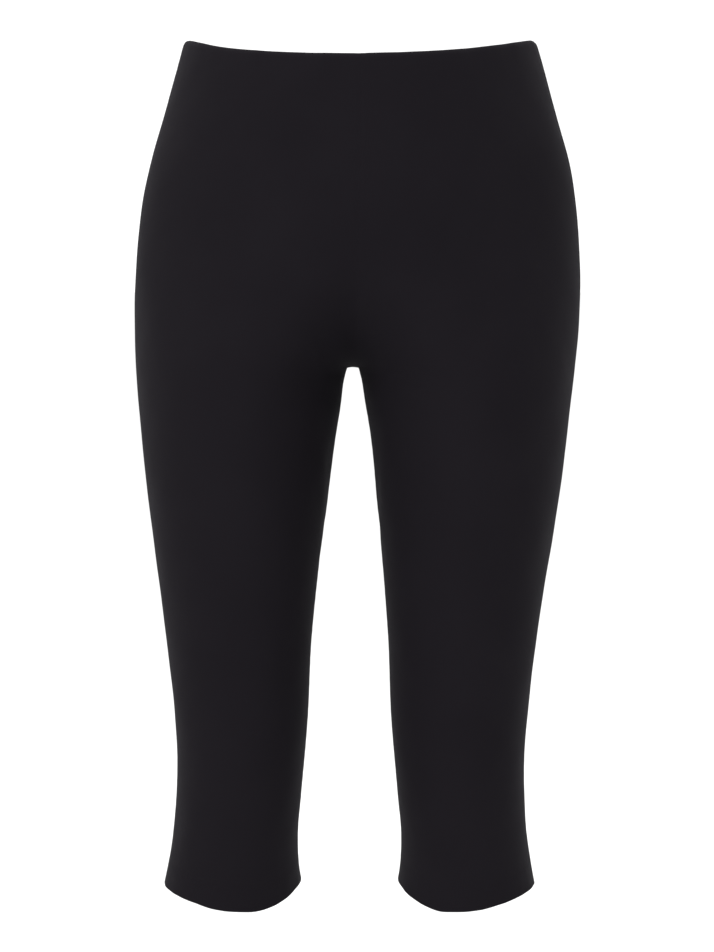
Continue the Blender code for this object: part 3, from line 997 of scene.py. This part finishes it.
def make_sewing(reverse, thread):
    """All pieces of the sewing, by the seam or edge that they belong to."""
    made = {seam.name: [make_allowance(seam, reverse), make_overlock(seam, thread)] for seam in SEAMS}
    made["waist"] = [
        make_zigzag("casing_overlock", WAIST_ROUND, CASING_OVERLOCK, OVERLOCK_BITE, thread),
    ]
    stitch = make_stitch()
    cover_rows = [(HEM - distance, depth) for distance, depth in HEM_COVER]
    for name, hand in (("left", LEFT), ("right", RIGHT)):
        made["hem_" + name] = [
            make_hem_stitches("hem_stitches_" + name, hand, stitch, thread),
            make_zigzag("hem_cover_" + name, leg_round(hand), cover_rows, STITCH_PITCH, thread),
        ]
    bpy.data.objects.remove(stitch)
    return made


# ---------------------------------------------------------------------------- stage, lights, camera

def make_camera():
    """The camera, with its focal length given in pixels of the frame."""
    camera = linked("camera", bpy.data.cameras.new("camera"))
    camera.location = CAMERA_AT_M
    camera.rotation_euler = (math.radians(90 - CAMERA_PITCH), 0.0, 0.0)
    camera.data.sensor_width = SENSOR
    camera.data.lens = FOCAL_PIXELS * SENSOR / FRAME_PIXELS
    bpy.context.scene.camera = camera


def make_light(name, place, target, width, height, energy):
    """A white softbox that points at its target."""
    lamp = bpy.data.lights.new(name, "AREA")
    lamp.shape = "RECTANGLE"
    lamp.size = width
    lamp.size_y = height
    lamp.energy = energy
    light = linked(name, lamp)
    light.location = place
    light.rotation_euler = (Vector(target) - Vector(place)).to_track_quat("-Z", "Y").to_euler()
    light.visible_camera = False


def make_floor():
    """A pale floor that runs out of sight."""
    bpy.ops.mesh.primitive_plane_add(size=FLOOR_SIZE_M, location=(0.0, 0.0, FLOOR_LEVEL_M))
    floor = bpy.context.object
    floor.name = "floor"
    material = bpy.data.materials.new("pale_floor")
    material.use_nodes = True
    shader = material.node_tree.nodes["Principled BSDF"]
    shader.inputs["Base Color"].default_value = FLOOR_COLOUR
    shader.inputs["Roughness"].default_value = FLOOR_ROUGHNESS
    shader.inputs["Specular IOR Level"].default_value = FLOOR_GLOSS
    floor.data.materials.append(material)


def make_surround():
    """Even white light from all round, which is also the backdrop."""
    world = bpy.data.worlds.new("studio")
    world.use_nodes = True
    background = world.node_tree.nodes["Background"]
    background.inputs["Color"].default_value = (1.0, 1.0, 1.0, 1.0)
    background.inputs["Strength"].default_value = SURROUND
    bpy.context.scene.world = world


# ---------------------------------------------------------------------------- assembly

def with_the_cloth(piece):
    """Let a piece move with the cloth and be of it."""
    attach(piece, "root")


make_camera()
make_floor()
make_surround()
for softbox in LIGHTS:
    make_light(*softbox)
bpy.context.scene.view_settings.view_transform = "Standard"

cloth_face, cloth_reverse, black_thread = make_finishes()
sewing = make_sewing(cloth_reverse, black_thread)
for pieces in sewing.values():
    for piece in pieces:
        with_the_cloth(piece)

for node, side, hand in PANELS:
    panel = make_panel(node + "_cloth", side, hand, (cloth_face, cloth_reverse))
    with_the_cloth(panel)
    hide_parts(node)
